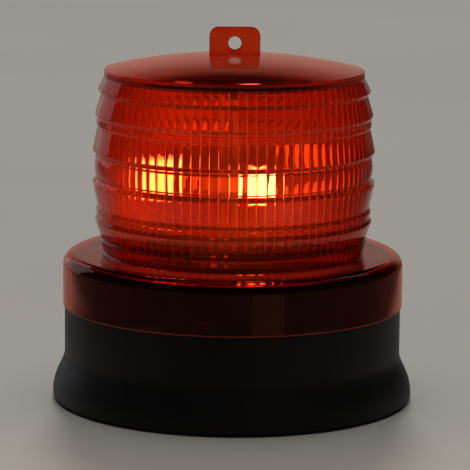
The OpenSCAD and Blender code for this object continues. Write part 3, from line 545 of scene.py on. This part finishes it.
def turned_between_poles(line, angles):
    """The same for a line that starts and ends on the axis. Each end closes in a fan of triangles."""
    line = np.asarray(line, float)
    n = len(angles)
    points, _ = turned(line[1:-1], angles)
    faces = grid_faces(len(line) - 2, n, closed=False)
    last = (len(line) - 3) * n
    j = np.arange(n)
    poles = [[0, 0, line[0, 1]], [0, 0, line[-1, 1]]]
    first_pole, last_pole = len(points), len(points) + 1
    faces += [[first_pole, int(b), int(a)] for a, b in zip(j, (j + 1) % n)]
    faces += [[last_pole, int(last + a), int(last + b)] for a, b in zip(j, (j + 1) % n)]
    return np.vstack([points, poles]), faces


# Lens

def tip(z):
    """Radius that the tips of the rings follow, widest at the middle ring."""
    return BARREL_R - BULGE * ((z - BARREL_MID) / (BARREL_TOP - BARREL_MID)) ** 2


def root(z):
    """Radius that the roots between the rings follow."""
    return tip(z) - PRISM


def lens_section():
    """The lens wall cut along the axis: up the outside, over the rings, down the bore, under the flange.
    Low down the bore slopes as the lowest ring does, so that the board behind it isn't lifted out of view.
    Returns the closed line and which of its points lie on the ribbed bore."""
    inner, under, small = SKIRT_R - SKIRT_WALL, FLANGE_Z - SKIRT_WALL, CORNER_R - SKIRT_WALL
    mid_r = tip(BARREL_MID) - MID_SINK
    lower = [
        (SKIRT_R - CORNER_R, FLANGE_Z), (root(FLANGE_Z) + FLANGE_FILLET, FLANGE_Z),
        (root(FLANGE_Z), FLANGE_Z + FLANGE_FILLET), (root(COLLAR), COLLAR - BEAD_TOP),
        (root(COLLAR) + BEAD, COLLAR - BEAD_TOP + BEAD), (root(COLLAR) + BEAD, COLLAR - BEAD),
        (root(COLLAR), COLLAR), (tip(LOW_TIP), LOW_TIP), (root(LOW_THIN) + LOW_LIP, LOW_THIN),
        (root(LOW_THIN_TOP) + LOW_LIP, LOW_THIN_TOP), (root(DEEP_ROOT), DEEP_ROOT),
        (tip(DEEP_TIP), DEEP_TIP), (mid_r, MID_LOW), (tip(BARREL_MID) - MID_EDGE, MID_LOW + MID_EDGE_H)]
    t = np.linspace(0, 1, 13)[1:-1]
    middle = np.stack([mid_r + MID_BULGE * np.sin(math.pi * t), MID_LOW + (MID_TOP - MID_LOW) * t], 1)
    upper = [
        (tip(BARREL_MID) - MID_EDGE, MID_TOP - MID_EDGE_H), (mid_r, MID_TOP),
        (tip(DEEP_TIP2), DEEP_TIP2), (root(DEEP_ROOT2), DEEP_ROOT2),
        (root(HIGH_THIN) + HIGH_LIP, HIGH_THIN), (root(HIGH_THIN_TOP) + HIGH_LIP, HIGH_THIN_TOP),
        (tip(HIGH_TIP), HIGH_TIP), (root(HIGH_ROOT), HIGH_ROOT), (tip(TOP_TIP), TOP_TIP),
        (CAP_R, BARREL_TOP), (CAP_R - LAND_OUT, BARREL_TOP)]
    foot_r = LOW_BORE - (tip(LOW_TIP) - root(COLLAR))
    bore = eased([(HIGH_BORE + LAND_IN, BARREL_TOP), (HIGH_BORE, BARREL_TOP), (HIGH_BORE, HIGH_STEP),
                  (MID_BORE, HIGH_STEP), (MID_BORE, LOW_STEP), (LOW_BORE, LOW_STEP),
                  (LOW_BORE, LOW_TIP - BORE_DROP), (foot_r, COLLAR - BORE_DROP), (foot_r, under),
                  (foot_r + LAND_IN, under)], 0.15, 1)
    corner = arc((SKIRT_R - CORNER_R, FLANGE_Z - CORNER_R), CORNER_R, 0, 90, 10)[:-1]
    hollow = arc((inner - small, under - small), small, 90, 0, 6)
    foot = eased([hollow[-1], (inner, SKIRT_Z), (SKIRT_R, SKIRT_Z), corner[0]], 0.25, 2)[1:-1]
    outside = np.vstack([corner, eased(lower, 0.3), middle, eased(upper, 0.3)])
    line = np.vstack([outside, bore, hollow, foot])
    on_bore = np.zeros(len(line), bool)
    on_bore[len(outside) + 1:len(outside) + len(bore) - 1] = True
    return line, on_bore


def make_lens():
    """The lens: its section turned round the axis. On the bore each rib stands in by depth times the
    lesser of 1 and (1 - |t|) / slope, where t runs from -1 to 1 across the rib: flat, with sloping
    sides."""
    line, on_bore = lens_section()
    across = np.array([-1, -0.84, -0.77, 0.77, 0.84])
    angles = ((np.arange(RIBS)[:, None] + (across[None, :] + 1) / 2) * 2 * math.pi / RIBS).ravel()

    def dent(r, a):
        t = 2 * np.mod(a * RIBS / (2 * math.pi), 1.0) - 1
        return np.where(on_bore[:, None], r - RIB_DEPTH * np.minimum(1, (1 - np.abs(t)) / RIB_SLOPE), r)

    points, faces = turned(line, angles, dent)
    make_piece("lens_wall", points, faces, "lens", "red_lens")


def make_lugs():
    """Three curved blocks inside the skirt: x = r cos a, y = r sin a over two radii and a few angles."""
    points, faces, steps = [], [], 7
    top = LUG_Z + LUG_H
    for middle in LUG_TURNS:
        a = np.radians(np.linspace(middle - LUG_ANGLE / 2, middle + LUG_ANGLE / 2, steps))
        first = len(points)
        for r, z in ((LUG_IN, LUG_Z), (LUG_OUT, LUG_Z), (LUG_OUT, top), (LUG_IN, top)):
            points += np.stack([r * np.cos(a), r * np.sin(a), z + 0 * a], 1).tolist()
        for side in range(4):
            row, other = first + side * steps, first + (side + 1) % 4 * steps
            faces += [[row + k, row + k + 1, other + k + 1, other + k] for k in range(steps - 1)]
        ends = [first + side * steps for side in range(4)]
        faces += [ends, [ends[side] + steps - 1 for side in (0, 3, 2, 1)]]
    make_piece("lens_lugs", points, faces, "lens", "red_lens", smooth=False)


def make_cap():
    """The dome: an arc of a great sphere from the middle to the rim, down the rim, round the plug that
    stands in the barrel, and back under a second arc, turned round the axis."""
    top = BARREL_TOP + CAP_RIM
    apex = top + DOME_RISE
    radius = (CAP_R ** 2 + DOME_RISE ** 2) / (2 * DOME_RISE)
    plug = HIGH_BORE - RIB_DEPTH - PLUG_FIT
    edge = math.degrees(math.acos(CAP_R / radius))
    inner_edge = math.degrees(math.acos((plug - PLUG_T) / (radius - DOME_T)))
    centre = (0, apex - radius)
    over = arc(centre, radius, 90, edge, 24)
    below = arc(centre, radius - DOME_T, inner_edge, 90, 24)
    seat = BARREL_TOP + SEAT_GAP
    rim = eased([over[-2], over[-1], (CAP_R, seat), (plug, seat), (plug, BARREL_TOP - PLUG_H),
                 (plug - PLUG_T, BARREL_TOP - PLUG_H), below[0], below[1]], 0.35, 3)
    line = np.vstack([over[:-2], rim, below[2:]])[::-1]
    points, faces = turned_between_poles(line, even(288))
    make_piece("dome", points, faces, "lens", "red_lens")
    return apex


def make_tab(apex):
    """The hanging tab: for each direction u from the hole's middle, a closed loop from the hole's edge out
    to the plate's edge and back, with rounded edges. The plate's edge is where a ray meets a rectangle
    whose upper corners are quarter circles."""
    low, high = -TAB_ROOT - HOLE_Z, TAB_H - HOLE_Z
    u = even(192)
    c, s = np.cos(u), np.sin(u)
    with np.errstate(divide="ignore"):
        reach = np.minimum(TAB_HALF_W / np.abs(c), np.where(s > 0, high, -low) / np.abs(s))
    mx, mz = (TAB_HALF_W - TAB_ROUND) * np.sign(c), high - TAB_ROUND
    along = c * mx + s * mz
    inside = along ** 2 - (mx ** 2 + mz ** 2 - TAB_ROUND ** 2)
    x, z = reach * c, reach * s
    in_corner = (np.abs(x) > TAB_HALF_W - TAB_ROUND) & (z > high - TAB_ROUND)
    reach = np.where(in_corner, along + np.sqrt(np.maximum(inside, 0)), reach)
    ease = 0.3
    turn = np.radians([0, 30, 60, 90])
    loop = [(1, -ease * (1 - math.cos(t)), TAB_HALF_T - ease * (1 - math.sin(t))) for t in turn]
    loop += [(0, ease * (1 - math.cos(t)), TAB_HALF_T - ease * (1 - math.sin(t))) for t in turn[::-1]]
    loop += [(side, shift, -y) for side, shift, y in loop[::-1]]
    loop = loop[::-1]
    rows = []
    for side, shift, y in loop:
        r = np.where(side, reach + shift, HOLE_R + shift)
        rows.append(np.stack([r * c, y + 0 * r, apex + HOLE_Z + r * s], 1))
    make_piece("hanging_tab", np.vstack(rows), grid_faces(len(loop), len(u)), "lens", "red_lens")


# Floor, room and lights

def make_floor():
    """A wide flat floor."""
    far = 9
    corners = [(-far, -far, 0), (far, -far, 0), (far, far, 0), (-far, far, 0)]
    mesh = bpy.data.meshes.new("floor")
    mesh.from_pydata(corners, [], [(0, 1, 2, 3)])
    floor = bpy.data.objects.new("floor", mesh)
    mesh.materials.append(paper("paper"))
    bpy.context.scene.collection.objects.link(floor)


def make_world():
    """A dark room with a grey backdrop low down behind the object: its light is the product of a ramp over
    y and one over z, each given as its axis, two places on it and the values there. What the camera sees
    beyond the floor is the floor's own grey."""
    world = bpy.data.worlds.new("studio")
    world.use_nodes = True
    tree = world.node_tree
    tree.nodes.clear()

    def add(kind, **settings):
        node = tree.nodes.new("ShaderNode" + kind)
        for key, value in settings.items():
            setattr(node, key, value)
        return node

    split, strength = add("SeparateXYZ"), add("Math", operation="MULTIPLY")
    tree.links.new(add("TexCoord").outputs["Generated"], split.inputs[0])
    towards_back, low_down = (1, 0.85, 0.97, 0.04, 1), (2, 0.5, 0.2, 0.06, 0.36)
    for k, (axis, *limits) in enumerate((towards_back, low_down)):
        ramp = add("MapRange", interpolation_type="SMOOTHSTEP")
        tree.links.new(split.outputs[axis], ramp.inputs[0])
        for key, value in enumerate(limits, 1):
            ramp.inputs[key].default_value = value
        tree.links.new(ramp.outputs[0], strength.inputs[k])
    light, seen, choose = add("Background"), add("Background"), add("MixShader")
    light.inputs[0].default_value = (1.0, 0.965, 0.9, 1)
    tree.links.new(strength.outputs[0], light.inputs[1])
    seen.inputs[0].default_value = BACKDROP
    tree.links.new(add("LightPath").outputs["Is Camera Ray"], choose.inputs[0])
    tree.links.new(light.outputs[0], choose.inputs[1])
    tree.links.new(seen.outputs[0], choose.inputs[2])
    tree.links.new(choose.outputs[0], add("OutputWorld").inputs[0])
    bpy.context.scene.world = world


def light_studio():
    """A broad soft light from above and one from behind, small orange lights round the lamps, and lights
    that are only mirrored: a broad window far behind on the left, a slit on the right, and the warm glint
    down the front of the skirt and the base."""
    place_lamp("ceiling", "SUN", (0, 0.3, 3), (0, 0, 0), False, energy=1.8, angle=math.radians(60))
    place_lamp("back", "SUN", (0, 2.6, 1.6), (0, 0, 0), False, energy=2.4, angle=math.radians(15))
    for turn, height, power in FLASHES:
        side = Vector((math.cos(math.radians(turn)), math.sin(math.radians(turn)), 0))
        place_lamp("flash", "POINT", side * FLASH_R + Vector((0, 0, LAMP_Z + height)), (0, 0, 0), False,
                   energy=power, shadow_soft_size=0.003, color=(1, 0.45, 0.18))
    place_lamp("left", "AREA", (-0.85, 0.983, 0.43), (0, 0, 0.43), True, shape="RECTANGLE",
               size=0.85, size_y=0.84, energy=1.25, color=(0.82, 0.86, 1))
    place_lamp("right", "AREA", (0.55, 0.5, 0.8), (0, 0, 0.05), True, shape="RECTANGLE",
               size=0.05, size_y=0.35, energy=0.08, color=(1, 0.85, 0.85))
    for width in (0.009, 0.017, 0.025):
        place_lamp("gap", "AREA", (0.0275, -0.094, 0.024), (0.012, -0.058, 0.024), True,
                   shape="RECTANGLE", size=width, size_y=0.046, energy=0.02 * width, color=(1, 0.45, 0.15))


# The scene put together

dress_frame()
make_lens()
make_lugs()
make_tab(make_cap())
for name, stands_for in (("lens_wall", "ribbed_lens"), ("dome", "dome_cap")):
    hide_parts(stands_for)

make_floor()
make_world()
light_studio()
place_camera()

bpy.context.scene.view_settings.view_transform = "Standard"
